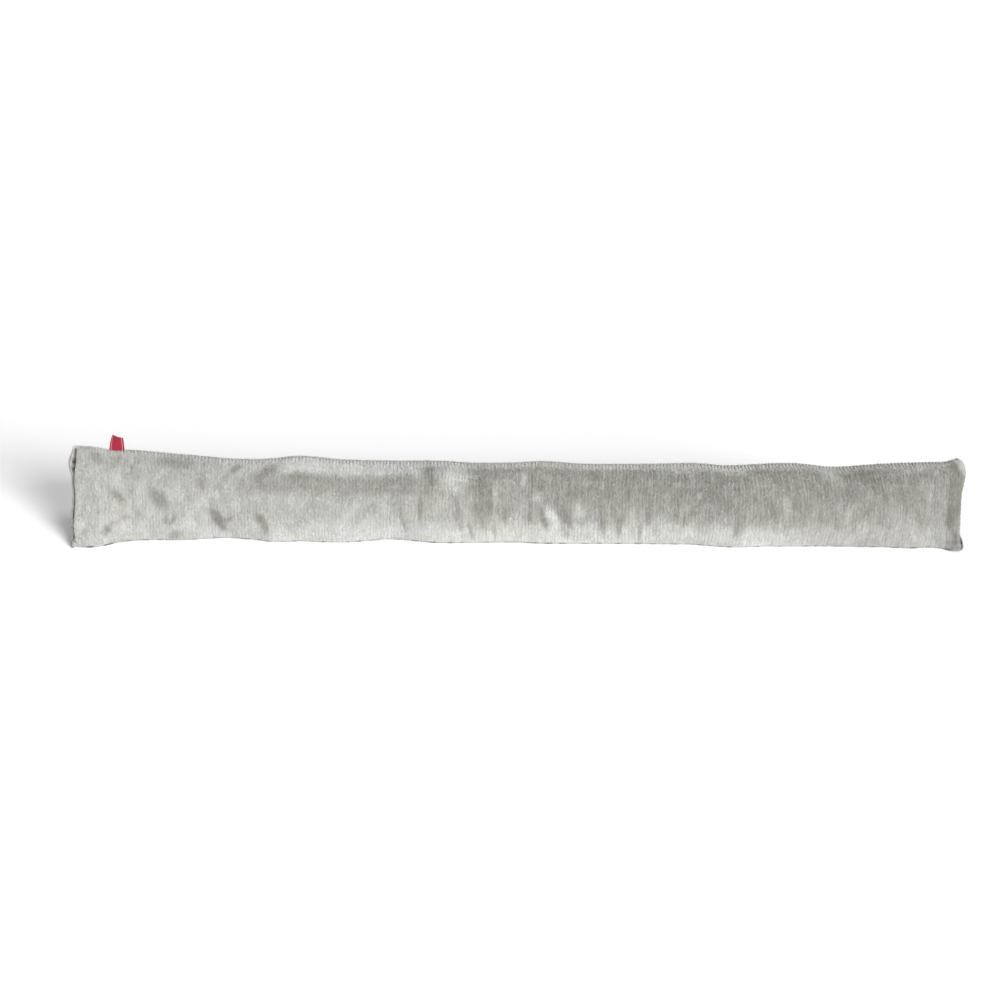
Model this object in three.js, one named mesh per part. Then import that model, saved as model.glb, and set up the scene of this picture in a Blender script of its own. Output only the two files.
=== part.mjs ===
// Draught excluder: a long filled plush tube that stands on its lower edge. It is sewn
// flat across both ends like a pillow, and a small folded label is caught in the seam
// that runs along its crest.
// Millimetres. +X runs along the length, the front looks to -Y, z = 0 is the floor.
import * as THREE from 'three';

// The tube
const HALF_LENGTH = 449;
const BODY_HEIGHT = 81;
const BODY_DEPTH = 44;
const DEPTH_LOST_PER_HEIGHT = 0.75;
const SECTION_SQUARENESS = 2.3;
const REST_STRIP = 25;
const REST_FILLET = 2.6;

// The pillow ends: how long they are, how far the cloth swells past the end seams on the
// side that shows more and the side that shows less, and the lobe of the back that wraps
// round the top of the left end
const NOSE_LENGTH = 58;
const FULL_LIP = 4;
const SLIGHT_LIP = 2.4;
const LOBE = 8;
const LOBE_FOOT = 0.67;
const LOBE_FULL = 0.84;

// The mesh of the tube
const NOSE_OPENINGS = [0, 0.07, 0.16, 0.27, 0.4, 0.54, 0.69, 0.84, 0.95];
const BODY_STEPS = 66;
const GIRTH_STEPS = 20;

// The label
const LABEL_MIDDLE = -400;
const LABEL_WIDTH = 14.5;
const LABEL_HEIGHT = 14;
const LABEL_SLANT = 1.6;
const LABEL_CLOTH = 0.8;
const LABEL_GAP = 0.5;
const LABEL_SEAT = 0.3;
const LABEL_CURL = 3.4;
const LABEL_COLUMNS = 8;

// One row for each place along the tube: the height of the crest over the floor, and how
// far the foot and the crest stand behind (+) or before (-) the middle of the body.
const SECTIONS = [
  { x: -446, height: 96.6, foot: -46, crest: -9 },
  { x: -436, height: 96.8, foot: -38, crest: -8.5 },
  { x: -424, height: 95.4, foot: -33.5, crest: -8 },
  { x: -411, height: 92.4, foot: -24.5, crest: -7 },
  { x: -396, height: 91.2, foot: -14.5, crest: -6 },
  { x: -373, height: 89.8, foot: -8, crest: -5 },
  { x: -338, height: 86.4, foot: -5, crest: -3 },
  { x: -293, height: 81.9, foot: 1, crest: -1 },
  { x: -264, height: 81, foot: -2, crest: 0 },
  { x: -246, height: 82, foot: -7, crest: 0 },
  { x: -217, height: 84.6, foot: -7, crest: 0 },
  { x: -172, height: 81.2, foot: -6.5, crest: 1 },
  { x: -127, height: 80.4, foot: 2, crest: 1 },
  { x: -77, height: 80.8, foot: -5, crest: 0 },
  { x: -40, height: 79.4, foot: -4, crest: 0 },
  { x: 0, height: 80.2, foot: -2, crest: 0 },
  { x: 28, height: 81.6, foot: -4, crest: 0 },
  { x: 70, height: 79.8, foot: -3, crest: -1 },
  { x: 140, height: 80.6, foot: -2, crest: -1 },
  { x: 176, height: 81.2, foot: -3, crest: 0 },
  { x: 214, height: 79.5, foot: -8, crest: 0 },
  { x: 270, height: 82, foot: -5, crest: 1 },
  { x: 318, height: 79.4, foot: -3, crest: 0 },
  { x: 364, height: 83, foot: -4, crest: -2 },
  { x: 396, height: 85.8, foot: -5.5, crest: -5 },
  { x: 415, height: 87.6, foot: -4, crest: -8 },
  { x: 430, height: 90, foot: -11, crest: -12 },
  { x: 439, height: 94.6, foot: -21, crest: -15 },
  { x: 450, height: 95.6, foot: -30, crest: -17 },
];

// One row for each place up an end seam, from the floor corner (0) to the crest corner (1):
// how far the seam stands in from the tip, and how far it is turned to the front.
const LEFT_SEAM = [
  { up: 0, inset: 3.6, turn: 0 },
  { up: 0.08, inset: 3, turn: 1 },
  { up: 0.2, inset: 6.6, turn: 3 },
  { up: 0.3, inset: 4.4, turn: 3 },
  { up: 0.42, inset: 5.2, turn: 3 },
  { up: 0.55, inset: 5.8, turn: 3 },
  { up: 0.67, inset: 4.6, turn: 4.5 },
  { up: 0.8, inset: 5.8, turn: 7 },
  { up: 0.93, inset: 6.4, turn: 6 },
  { up: 1, inset: 4.6, turn: 0 },
];
const RIGHT_SEAM = [
  { up: 0, inset: 7.5, turn: 0 },
  { up: 0.05, inset: 3.4, turn: 0 },
  { up: 0.11, inset: 2, turn: 1 },
  { up: 0.18, inset: 3.5, turn: -1 },
  { up: 0.29, inset: 6.8, turn: -4 },
  { up: 0.61, inset: 7.2, turn: -4 },
  { up: 0.73, inset: 3.6, turn: -4 },
  { up: 0.84, inset: 2, turn: -4 },
  { up: 0.93, inset: 4, turn: -2 },
  { up: 1, inset: 11, turn: 0 },
];

// Soft troughs (depth under zero) and swellings of the front and back, each a long oval:
// its middle, half its length and half its width, and the way it points (90 is upright).
const FOLDS = [
  { side: 'front', x: -178, up: 0.66, along: 105, across: 13, angle: 0, depth: -2.6 },
  { side: 'front', x: -170, up: 0.86, along: 90, across: 9, angle: 0, depth: 1.6 },
  { side: 'front', x: -62, up: 0.72, along: 26, across: 11, angle: 82, depth: -2.4 },
  { side: 'front', x: -398, up: 0.42, along: 22, across: 14, angle: -30, depth: -1.8 },
  { side: 'front', x: -304, up: 0.32, along: 26, across: 12, angle: 65, depth: -1.8 },
  { side: 'front', x: -436, up: 0.21, along: 13, across: 5, angle: 20, depth: -2.8 },
  { side: 'front', x: 36, up: 0.4, along: 30, across: 13, angle: 86, depth: -1.6 },
  { side: 'front', x: 140, up: 0.58, along: 60, across: 15, angle: 8, depth: 1.5 },
  { side: 'front', x: 316, up: 0.6, along: 34, across: 14, angle: 100, depth: -2 },
  { side: 'front', x: 414, up: 0.5, along: 30, across: 14, angle: 90, depth: -1.2 },
  { side: 'front', x: 436, up: 0.86, along: 14, across: 5, angle: -45, depth: -7 },
  { side: 'front', x: 445, up: 0.93, along: 12, across: 7, angle: -45, depth: 6 },
  { side: 'front', x: 440, up: 0.18, along: 9, across: 6, angle: 60, depth: -4.5 },
  { side: 'back', x: -352, up: 0.5, along: 50, across: 15, angle: 70, depth: -2.4 },
  { side: 'back', x: -205, up: 0.62, along: 80, across: 14, angle: 4, depth: -2.2 },
  { side: 'back', x: -20, up: 0.5, along: 34, across: 13, angle: 96, depth: -2 },
  { side: 'back', x: 170, up: 0.56, along: 90, across: 16, angle: -3, depth: 1.8 },
  { side: 'back', x: 300, up: 0.6, along: 30, across: 13, angle: 84, depth: -2.2 },
  { side: 'back', x: 428, up: 0.78, along: 20, across: 8, angle: 38, depth: -3 },
];

// Reads a column of a table at a place between its rows, on a smooth curve through them.
function readTable(table, key, place, column) {
  const last = table.length - 1;
  let row = 0;
  while (row < last - 1 && table[row + 1][key] < place) row += 1;
  const span = table[row + 1][key] - table[row][key];
  const t = THREE.MathUtils.clamp((place - table[row][key]) / span, 0, 1);
  const slope = (k) => {
    const before = table[Math.max(k - 1, 0)];
    const after = table[Math.min(k + 1, last)];
    return ((after[column] - before[column]) / (after[key] - before[key])) * span;
  };
  const from = table[row][column];
  const to = table[row + 1][column];
  const curve = from * (2 * t ** 3 - 3 * t ** 2 + 1) + to * (3 * t ** 2 - 2 * t ** 3);
  return curve + slope(row) * (t ** 3 - 2 * t ** 2 + t) + slope(row + 1) * (t ** 3 - t ** 2);
}

// Half of the body's section at a share of its girth, from the foot (0) to the crest (1):
// how far it stands out from the middle, and its height, flat where it rests.
function bodySection(share, height, depth) {
  const turn = Math.PI * (share + 0.05 * Math.sin(2 * Math.PI * share));
  const power = 2 / SECTION_SQUARENESS;
  const out = (depth / 2) * Math.abs(Math.sin(turn)) ** power;
  const restShare = REST_STRIP / depth;
  const restDrop = 1 - (1 - restShare ** SECTION_SQUARENESS) ** (1 / SECTION_SQUARENESS);
  const radius = height / (2 - restDrop);
  const cosine = Math.cos(turn);
  const raw = radius * (1 - restDrop - Math.sign(cosine) * Math.abs(cosine) ** power);
  let up = raw;
  if (raw < -REST_FILLET) up = 0;
  else if (raw < REST_FILLET) up = (raw + REST_FILLET) ** 2 / (4 * REST_FILLET);
  return { out, up };
}

// How far the folds push a point of one side in or out.
function foldPush(side, x, up) {
  let push = 0;
  for (const fold of FOLDS) {
    if (fold.side !== side) continue;
    const angle = THREE.MathUtils.degToRad(fold.angle);
    const dx = x - fold.x;
    const dz = (up - fold.up) * BODY_HEIGHT;
    const along = (dx * Math.cos(angle) + dz * Math.sin(angle)) / fold.along;
    const across = (dz * Math.cos(angle) - dx * Math.sin(angle)) / fold.across;
    push += fold.depth * Math.exp(-along * along - across * across);
  }
  return push;
}

// The places along the tube where its section is made: open is 0 on an end seam and 1 in
// the body, and end is -1 at the left end, 1 at the right end and 0 between.
function stations() {
  const noseEnd = HALF_LENGTH - NOSE_LENGTH;
  const places = NOSE_OPENINGS.map((open) => ({ end: -1, open }));
  for (let step = 0; step <= BODY_STEPS; step += 1) {
    places.push({ end: 0, open: 1, x: -noseEnd + (2 * noseEnd * step) / BODY_STEPS });
  }
  return places.concat(NOSE_OPENINGS.map((open) => ({ end: 1, open })).reverse());
}

// The place along the tube of a point of its pillow end, and how far the seam there is
// turned to the front. The cloth swells past the seam on both sides of it.
function endPoint({ end, open }, side, share, rim) {
  const seam = end < 0 ? LEFT_SEAM : RIGHT_SEAM;
  const inset = readTable(seam, 'up', share, 'inset') * (1 - open);
  const turn = readTable(seam, 'up', share, 'turn') * (1 - open);
  const lobe = LOBE * THREE.MathUtils.smoothstep(share, LOBE_FOOT, LOBE_FULL);
  const fullSide = end < 0 ? 'back' : 'front';
  let lip = side === fullSide ? FULL_LIP : SLIGHT_LIP;
  if (side === 'back' && end < 0) lip += lobe;
  const swell = lip * rim * Math.sin(Math.PI * open ** 0.6);
  const nose = NOSE_LENGTH * (1 - Math.sqrt(1 - open * open));
  return { x: end * (HALF_LENGTH - inset - nose + swell), turn };
}

// A point of the tube: side is 'front' or 'back', share runs from the foot to the crest.
function tubePoint(place, side, share) {
  const rim = Math.sqrt(Math.max(Math.sin(Math.PI * share), 0));
  const { x, turn } = place.end === 0 ? { x: place.x, turn: 0 } : endPoint(place, side, share, rim);
  const height = readTable(SECTIONS, 'x', x, 'height');
  const foot = readTable(SECTIONS, 'x', x, 'foot');
  const crest = readTable(SECTIONS, 'x', x, 'crest');
  const depth = BODY_DEPTH - DEPTH_LOST_PER_HEIGHT * (height - BODY_HEIGHT);
  const section = bodySection(share, height, depth);
  const rounded = 1 - (1 - place.open) ** 3;
  const up = THREE.MathUtils.lerp(height * share, section.up, rounded);
  const middle = THREE.MathUtils.lerp(foot, crest, up / height) - turn;
  const push = foldPush(side, x, up / height) * rim * Math.sqrt(place.open) * Math.min(1, up / 12);
  const out = Math.max(section.out * place.open + push, 0);
  return new THREE.Vector3(x, side === 'front' ? middle - out : middle + out, up);
}

function closedMesh(positions, index) {
  const geometry = new THREE.BufferGeometry();
  geometry.setAttribute('position', new THREE.Float32BufferAttribute(positions, 3));
  geometry.setIndex(index);
  geometry.computeVertexNormals();
  return geometry;
}

// The closed tube, as a front and a back that share the foot, the crest and both end seams.
function tubeGeometry(places) {
  const positions = [];
  const index = [];
  const front = [];
  const back = [];
  const lastPlace = places.length - 1;
  places.forEach((place, i) => {
    front.push([]);
    back.push([]);
    for (let j = 0; j <= GIRTH_STEPS; j += 1) {
      const share = j / GIRTH_STEPS;
      const shared = j === 0 || j === GIRTH_STEPS || i === 0 || i === lastPlace;
      front[i].push(positions.length / 3);
      positions.push(...tubePoint(place, 'front', share).toArray());
      back[i].push(shared ? front[i][j] : positions.length / 3);
      if (!shared) positions.push(...tubePoint(place, 'back', share).toArray());
    }
  });
  for (let i = 0; i < lastPlace; i += 1) {
    for (let j = 0; j < GIRTH_STEPS; j += 1) {
      index.push(front[i][j], front[i + 1][j], front[i + 1][j + 1]);
      index.push(front[i][j], front[i + 1][j + 1], front[i][j + 1]);
      index.push(back[i][j], back[i + 1][j + 1], back[i + 1][j]);
      index.push(back[i][j], back[i][j + 1], back[i + 1][j + 1]);
    }
  }
  return closedMesh(positions, index);
}

// The crest of the meshed tube at a place along it.
function crestPoint(places, x) {
  const crest = places.map((place) => tubePoint(place, 'front', 1));
  const after = crest.findIndex((point) => point.x > x);
  const t = (x - crest[after - 1].x) / (crest[after].x - crest[after - 1].x);
  return crest[after - 1].clone().lerp(crest[after], t);
}

// The label's section, once round: up the front layer, over the fold, down the back layer,
// and back inside it. Each point is how far out it stands and its share of the height.
function labelSection() {
  const outer = LABEL_GAP / 2 + LABEL_CLOTH;
  const inner = LABEL_GAP / 2;
  const outside = [[-outer, 0], [-outer, 0.5], [-outer, 0.9], [-0.6 * outer, 0.98], [0, 1]];
  const inside = [[-inner, 0], [-inner, 0.5], [-inner, 0.88], [0, 0.92]];
  const mirrored = (half) => half.slice(0, -1).reverse().map(([out, up]) => [-out, up]);
  return [...inside, ...mirrored(inside), ...[...outside, ...mirrored(outside)].reverse()];
}

// The label: one woven strip folded over, its two cut ends on the crest seam. Its left
// edge curls back towards the fold.
function labelGeometry(places) {
  const section = labelSection();
  const count = section.length;
  const positions = [];
  const index = [];
  for (let column = 0; column <= LABEL_COLUMNS; column += 1) {
    const across = column / LABEL_COLUMNS;
    const base = crestPoint(places, LABEL_MIDDLE + (across - 0.5) * LABEL_WIDTH);
    const tall = LABEL_HEIGHT - LABEL_SLANT * across;
    for (const [out, up] of section) {
      const curl = LABEL_CURL * up * up * (1 - across) ** 2;
      positions.push(base.x + curl, base.y + out + 1.3 * curl, base.z + LABEL_SEAT + tall * up);
    }
  }
  for (let column = 0; column < LABEL_COLUMNS; column += 1) {
    for (let k = 0; k < count; k += 1) {
      const a = column * count + k;
      const b = column * count + ((k + 1) % count);
      index.push(a, b, b + count, a, b + count, a + count);
    }
  }
  const outline = section.map(([out, up]) => new THREE.Vector2(out, up * LABEL_HEIGHT));
  const lastColumn = LABEL_COLUMNS * count;
  for (const [a, b, c] of THREE.ShapeUtils.triangulateShape(outline, [])) {
    index.push(a, c, b);
    index.push(lastColumn + a, lastColumn + b, lastColumn + c);
  }
  return closedMesh(positions, index);
}

const plush = new THREE.MeshStandardMaterial({ color: 0xbdbbb2, roughness: 0.95, metalness: 0 });
const labelCloth = new THREE.MeshStandardMaterial({ color: 0xb3242f, roughness: 0.8, metalness: 0 });

const places = stations();
const tube = new THREE.Mesh(tubeGeometry(places), plush);
tube.name = 'filled_tube';
const label = new THREE.Mesh(labelGeometry(places), labelCloth);
label.name = 'seam_label';

// The origin is the middle of the footprint, on the floor.
const excluder = new THREE.Group();
excluder.add(tube, label);
const middle = new THREE.Box3().setFromObject(tube).getCenter(new THREE.Vector3());
excluder.position.set(-middle.x, -middle.y, 0);
excluder.updateMatrixWorld(true);

export default excluder;
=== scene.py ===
"""Draught excluder: a long filled plush tube with a small folded label in its crest seam.

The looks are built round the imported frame. The tables give millimetres, as a maker would
measure the tube, with +X along its length, the front to -Y and the floor at z = 0. What
is made from them is in metres.
"""

import math

import bpy
import numpy as np
from bpy.props import FloatProperty, FloatVectorProperty, IntProperty, PointerProperty
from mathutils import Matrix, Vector


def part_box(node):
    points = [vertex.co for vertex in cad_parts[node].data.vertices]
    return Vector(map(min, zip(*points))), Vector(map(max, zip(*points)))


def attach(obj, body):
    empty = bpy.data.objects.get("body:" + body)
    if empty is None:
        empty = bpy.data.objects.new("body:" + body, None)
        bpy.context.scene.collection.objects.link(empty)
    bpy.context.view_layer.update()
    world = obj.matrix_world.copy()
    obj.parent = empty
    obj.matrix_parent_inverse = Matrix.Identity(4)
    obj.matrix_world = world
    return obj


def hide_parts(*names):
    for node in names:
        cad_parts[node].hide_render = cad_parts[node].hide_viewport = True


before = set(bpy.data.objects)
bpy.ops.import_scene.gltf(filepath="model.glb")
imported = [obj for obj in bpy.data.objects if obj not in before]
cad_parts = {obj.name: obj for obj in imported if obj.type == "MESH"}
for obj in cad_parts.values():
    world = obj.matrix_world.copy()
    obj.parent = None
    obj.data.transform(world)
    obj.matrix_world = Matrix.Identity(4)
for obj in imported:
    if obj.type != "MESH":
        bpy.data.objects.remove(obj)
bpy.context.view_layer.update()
TUBE_LOW, TUBE_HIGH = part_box("filled_tube")
MM = 0.001

bl_info = {
    "name": "Draught Excluder",
    "version": (1, 0, 0),
    "blender": (4, 5, 0),
    "location": "View3D > Sidebar > Draught Excluder",
    "description": "Builds a filled plush draught excluder with its label and stage",
    "category": "Object",
}


def named_columns(names, rows):
    """A short table as one array for each named column."""
    return dict(zip(names.split(), np.array(rows, float).T))


# The crest's height over the floor, and how far foot and crest stand behind (+) or before
# (-) the middle of the body, at places along the tube.
SECTIONS = named_columns("x height foot crest", [
    (-446, 96.6, -46, -9), (-436, 96.8, -38, -8.5), (-424, 95.4, -33.5, -8),
    (-411, 92.4, -24.5, -7), (-396, 91.2, -14.5, -6), (-373, 89.8, -8, -5),
    (-338, 86.4, -5, -3), (-293, 81.9, 1, -1), (-264, 81, -2, 0), (-246, 82, -7, 0),
    (-217, 84.6, -7, 0), (-172, 81.2, -6.5, 1), (-127, 80.4, 2, 1), (-77, 80.8, -5, 0),
    (-40, 79.4, -4, 0), (0, 80.2, -2, 0), (28, 81.6, -4, 0), (70, 79.8, -3, -1),
    (140, 80.6, -2, -1), (176, 81.2, -3, 0), (214, 79.5, -8, 0), (270, 82, -5, 1),
    (318, 79.4, -3, 0), (364, 83, -4, -2), (396, 85.8, -5.5, -5), (415, 87.6, -4, -8),
    (430, 90, -11, -12), (439, 94.6, -21, -15), (450, 95.6, -30, -17),
])

# How far an end seam stands in from the tip, and how far it is turned to the front, at
# shares of its way up from the floor corner to the crest corner.
LEFT_SEAM = named_columns("up inset turn", [
    (0, 3.6, 0), (0.08, 3, 1), (0.2, 6.6, 3), (0.3, 4.4, 3), (0.42, 5.2, 3),
    (0.55, 5.8, 3), (0.67, 4.6, 4.5), (0.8, 5.8, 7), (0.93, 6.4, 6), (1, 4.6, 0),
])
RIGHT_SEAM = named_columns("up inset turn", [
    (0, 7.5, 0), (0.05, 3.4, 0), (0.11, 2, 1), (0.18, 3.5, -1), (0.29, 6.8, -4),
    (0.61, 7.2, -4), (0.73, 3.6, -4), (0.84, 2, -4), (0.93, 4, -2), (1, 11, 0),
])

# Soft troughs (depth under zero) and swellings, each a long oval: its middle, half its
# length and half its width, and the way it points (90 is upright).
FRONT_FOLDS = named_columns("x up along across angle depth", [
    (-178, 0.66, 105, 13, 0, -2.6), (-170, 0.86, 90, 9, 0, 1.6),
    (-62, 0.72, 26, 11, 82, -2.4), (-398, 0.42, 22, 14, -30, -1.8),
    (-304, 0.32, 26, 12, 65, -1.8), (-436, 0.21, 13, 5, 20, -2.8),
    (36, 0.4, 30, 13, 86, -1.6), (140, 0.58, 60, 15, 8, 1.5),
    (316, 0.6, 34, 14, 100, -2), (414, 0.5, 30, 14, 90, -1.2),
    (436, 0.86, 14, 5, -45, -7), (445, 0.93, 12, 7, -45, 6), (440, 0.18, 9, 6, 60, -4.5),
])
BACK_FOLDS = named_columns("x up along across angle depth", [
    (-352, 0.5, 50, 15, 70, -2.4), (-205, 0.62, 80, 14, 4, -2.2),
    (-20, 0.5, 34, 13, 96, -2), (170, 0.56, 90, 16, -3, 1.8),
    (300, 0.6, 30, 13, 84, -2.2), (428, 0.78, 20, 8, 38, -3),
])

# Where the filling pulls the ribs sideways at mid height, and over how long a stretch.
RIB_PULLS = named_columns("x along pull", [
    (-405, 60, 2.5), (-250, 70, -1.5), (-60, 70, 2), (90, 60, -1.5), (330, 110, 10),
])

# Where the pile has been stroked or pressed, one stroke over another, as ovals like the folds: it
# is left at this lie, where 1 is full to the light and -1 away from it.
# The colour paints the lie in as light and shade, and some ovals are only painted light and shade.
FRONT_LIE_AND_SHADING = named_columns("x up along across angle lie", [
    # The broad sweeps: the right two thirds brushed down, the paler lower edge, painted light that
    # the floor throws up, and painted light and shade along the crest
    (215, 0.8, 300, 44, 0, -0.75), (60, 0.07, 400, 19, 0, 0.62), (-380, 0.1, 90, 18, 0, 0.12),
    (380, 0.1, 90, 15, 0, 0), (-176, 0.77, 113, 12.5, 0, -0.8), (-130, 0.5, 80, 10, 0, -0.1),
    (-190, 0.97, 110, 9, 0, 0.8), (-340, 1, 90, 7, 0, 0.1), (215, 1, 260, 5, 0, -0.35),
    # The left end: a mottled shoulder, and the marks that fingertips pressed into it
    (-358, 0.87, 65, 13, -4, -0.22), (-422, 0.92, 5, 4, 0, -0.6), (-342, 0.94, 18, 6, 0, -0.7),
    (-317, 0.73, 9, 7, 60, -0.6), (-250, 0.89, 11, 5, 20, -0.7), (-282, 0.93, 7, 4, 40, -0.5),
    (-401, 0.55, 9, 4.4, -38, -1.1), (-412, 0.18, 5, 4, 30, -1), (-400, 0.27, 13, 1.3, 15, -0.7),
    (-360, 0.53, 12, 7, -50, -0.85), (-350, 0.29, 7, 5.5, 40, -0.9), (-349, 0.3, 2.5, 2, 40, 0.3),
    (-345, 0.09, 9, 4, 20, -0.5), (-301, 0.29, 14, 5.4, -62, -1.2), (-291, 0.29, 6, 2.6, 30, -1),
    (-258, 0.32, 7, 5.2, -60, -1), (-253, 0.21, 7, 4, -75, -0.9),
    # The middle: upright strokes either side of a pale patch
    (-60, 0.86, 19, 14, 90, 0.35), (-87, 0.85, 20, 5.5, 88, -0.9), (-36, 0.7, 28, 8, 88, -0.8),
    (-114, 0.33, 15, 2.6, 104, -0.7), (-96, 0.5, 17, 2.4, 90, -0.8), (-58, 0.42, 16, 4, 100, -0.6),
    (-45, 0.2, 12, 2.5, 104, -0.4), (-30, 0.6, 30, 8, 92, -0.8), (-20, 0.7, 14, 3, 85, 0.1),
    (-11, 0.45, 15, 2.5, 92, -0.7), (-22, 0.25, 10, 3, 100, -0.2), (8, 0.85, 8, 3, 80, 0.1),
    (15, 0.5, 16, 2.6, 90, -0.8), (27, 0.38, 13, 3, 112, -0.8), (48, 0.42, 16, 5.5, 122, -0.9),
    (50, 0.2, 8, 3, 110, -0.2), (38, 0.36, 13, 5, 118, 0.8), (23, 0.62, 6, 5, 30, 0.05),
    (64, 0.44, 12, 6, 85, 0), (88, 0.42, 20, 4, 92, -0.9), (104, 0.28, 14, 3.5, 90, -0.5),
    (117, 0.35, 18, 4, 92, 0.1), (125, 0.22, 12, 2.5, 92, -0.3), (140, 0.3, 10, 3, 90, -0.3),
    # The right part: paler flecks along the crest and patches lower down, then painted shade on
    # the right end's side, which turns from the light, painted shade in the ear's crease, and a
    # painted highlight along the whole crest
    (160, 0.97, 8, 5, 0, 0), (176, 0.97, 10, 4, 0, 0), (222, 0.97, 16, 5, 0, 0.1),
    (222, 0.28, 12, 6, 95, -0.5), (272, 0.55, 12, 5, 95, -0.3), (316, 0.93, 14, 6, -30, 0.1),
    (332, 0.45, 18, 14, 0, -0.45), (350, 0.88, 18, 8, 0, -0.9), (395, 0.98, 22, 5, 0, -0.1),
    (408, 0.36, 12, 7, 90, -0.7), (424, 0.58, 20, 9, 90, -0.35), (440, 0.5, 34, 9, 90, -1),
    (437, 0.87, 11, 2.6, -45, -0.6), (447, 0.93, 9, 6, -45, 0.35), (0, 1, 440, 3, 0, 0.3),
])
BACK_LIE_AND_SHADING = named_columns("x up along across angle lie", [
    # The broad sweeps, with a painted paler lower edge, the light that the floor throws up
    (-120, 0.85, 330, 26, 0, -0.6), (60, 0.1, 400, 20, 0, 0.6), (280, 0.6, 120, 22, 4, -0.6),
    (-300, 0.5, 50, 14, 76, 0.5), (-352, 0.4, 9, 4, -40, -1), (-372, 0.55, 10, 4, -60, -1),
    (-60, 0.6, 26, 8, 86, 0.5), (-30, 0.45, 22, 4, 94, -0.9), (24, 0.4, 18, 4, 100, -0.8),
    (96, 0.5, 24, 5, 84, 0.5), (205, 0.35, 16, 5, 96, -0.8), (402, 0.5, 20, 10, 60, 0.4),
    # Painted light along the back's crest, and a lighter lie on the left end's lobe
    (0, 1, 460, 6, 0, 0.7), (-442, 0.8, 30, 12, 90, 0.3),
])


def millimetres(name, description, usual, low=0):
    """A length as a property, with its usual and its lowest value."""
    return FloatProperty(name=name, description=description, default=usual * MM,
                         min=low * MM, unit="LENGTH")


def degrees(name, description, usual):
    """An angle as a property, with its usual value."""
    return FloatProperty(name=name, description=description,
                         default=math.radians(usual), subtype="ANGLE")


def amount(name, description, usual):
    """A strength or share as a property, from 0 up."""
    return FloatProperty(name=name, description=description, default=usual, min=0)


def rgb(name, description, *usual):
    """A colour as a property, with its usual red, green and blue."""
    return FloatVectorProperty(name=name, description=description, default=usual,
                               subtype="COLOR", min=0, max=1)


class TubeSizes(bpy.types.PropertyGroup):
    """The sewn and filled tube."""

    half_length: millimetres("Half length", "From the middle to an end's tip", 449, 200)
    body_height: millimetres("Body height", "Usual height of the standing tube", 81, 30)
    body_depth: millimetres("Body depth", "Front to back where the height is usual", 44, 20)
    nose_length: millimetres("End length", "How far the flat-sewn ends taper", 58, 10)
    rib_pitch: millimetres("Rib pitch", "From one rib of the plush to the next", 3.4, 1)
    rib_depth: millimetres("Rib depth", "How deep the grooves between ribs are", 0.22)
    steps_per_rib: IntProperty(
        name="Steps per rib", description="Mesh columns across one rib", default=4, min=2)
    girth_steps: IntProperty(
        name="Girth steps", description="Mesh rows from foot to crest", default=46, min=10)


class PileSizes(bpy.types.PropertyGroup):
    """The short pile that stands on the cover."""

    length: millimetres("Pile length", "Usual length of a tuft of fibres", 2.2)
    width: millimetres("Tuft width", "Width of a tuft at its root", 0.34)
    lean: degrees("Lean", "How far a tuft usually leans over", 60)
    tufts: IntProperty(
        name="Tufts", description="How many are drawn for each piece",
        default=194000, min=0)


class PlushLook(bpy.types.PropertyGroup):
    """The colours and sheen of the plush, with its light and shade painted in by how the pile
    lies, and painted shade in its seams.
    """

    # The pile's light and shade are painted into its colour: the lit colour where it turns its
    # length to the light, the shaded one where it turns its tips to it.
    pile_painted_lit: rgb(
        "Light pile", "Where the pile turns its length to the light", 0.53, 0.529, 0.511)
    pile_painted_shaded: rgb(
        "Dark pile", "Where the pile turns its tips to the light", 0.24, 0.236, 0.207)
    # Painted shade down in the end seams' grooves and along the line where the tube rests on the
    # floor.
    seam: rgb("Seam", "Down in the sewn end seams", 0.05, 0.04, 0.042)
    sheen: amount("Sheen", "Soft shine of the fibre tips", 0.05)


class LabelSizes(bpy.types.PropertyGroup):
    """The folded woven label."""

    middle: millimetres("Place", "Its middle along the tube", -402.8, -1000)
    width: millimetres("Width", "Width of the ribbon", 15)
    height: millimetres("Height", "From the seam to the fold", 15)
    colour: rgb("Ribbon", "Colour of the ribbon", 0.29, 0.0095, 0.031)


class StageSetup(bpy.types.PropertyGroup):
    """The camera, the floor and the soft light."""

    distance: millimetres("Camera distance", "From the camera to the tube's middle", 2700, 500)
    elevation: degrees("Camera elevation", "How far the camera looks down", 18)
    azimuth: degrees("Camera azimuth", "How far the camera stands to the right", 2)
    focal_length: FloatProperty(
        name="Focal length", description="Lens of the camera, in millimetres",
        default=96.4, min=20, max=300)
    light_azimuth: degrees("Light azimuth", "How far the other lights stand to the right", 27)
    light_spread: degrees("Softness", "How large each light looks from the tube", 17)
    key_strength: amount("Main light", "Strength of the main soft light", 2.6)
    key_elevation: degrees("Main light elevation", "How high it stands", 20)
    low_strength: amount("Low light", "Strength of the light below the main one", 2.6)
    low_azimuth: degrees("Low light azimuth", "How far it stands to the right", 33)
    low_elevation: degrees("Low light elevation", "How high it stands", 9.5)
    high_strength: amount("High light", "Strength of the light above them", 0.55)
    high_elevation: degrees("High light elevation", "How high it stands", 52)
    sky: amount("Sky", "Strength of the even light from all round", 0.29)
    floor_white: amount("Floor", "How bright the floor shows, 1 is plain white paint", 1.25)


# Shape of the tube, with lengths in millimetres, and the left end's value first

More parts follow.
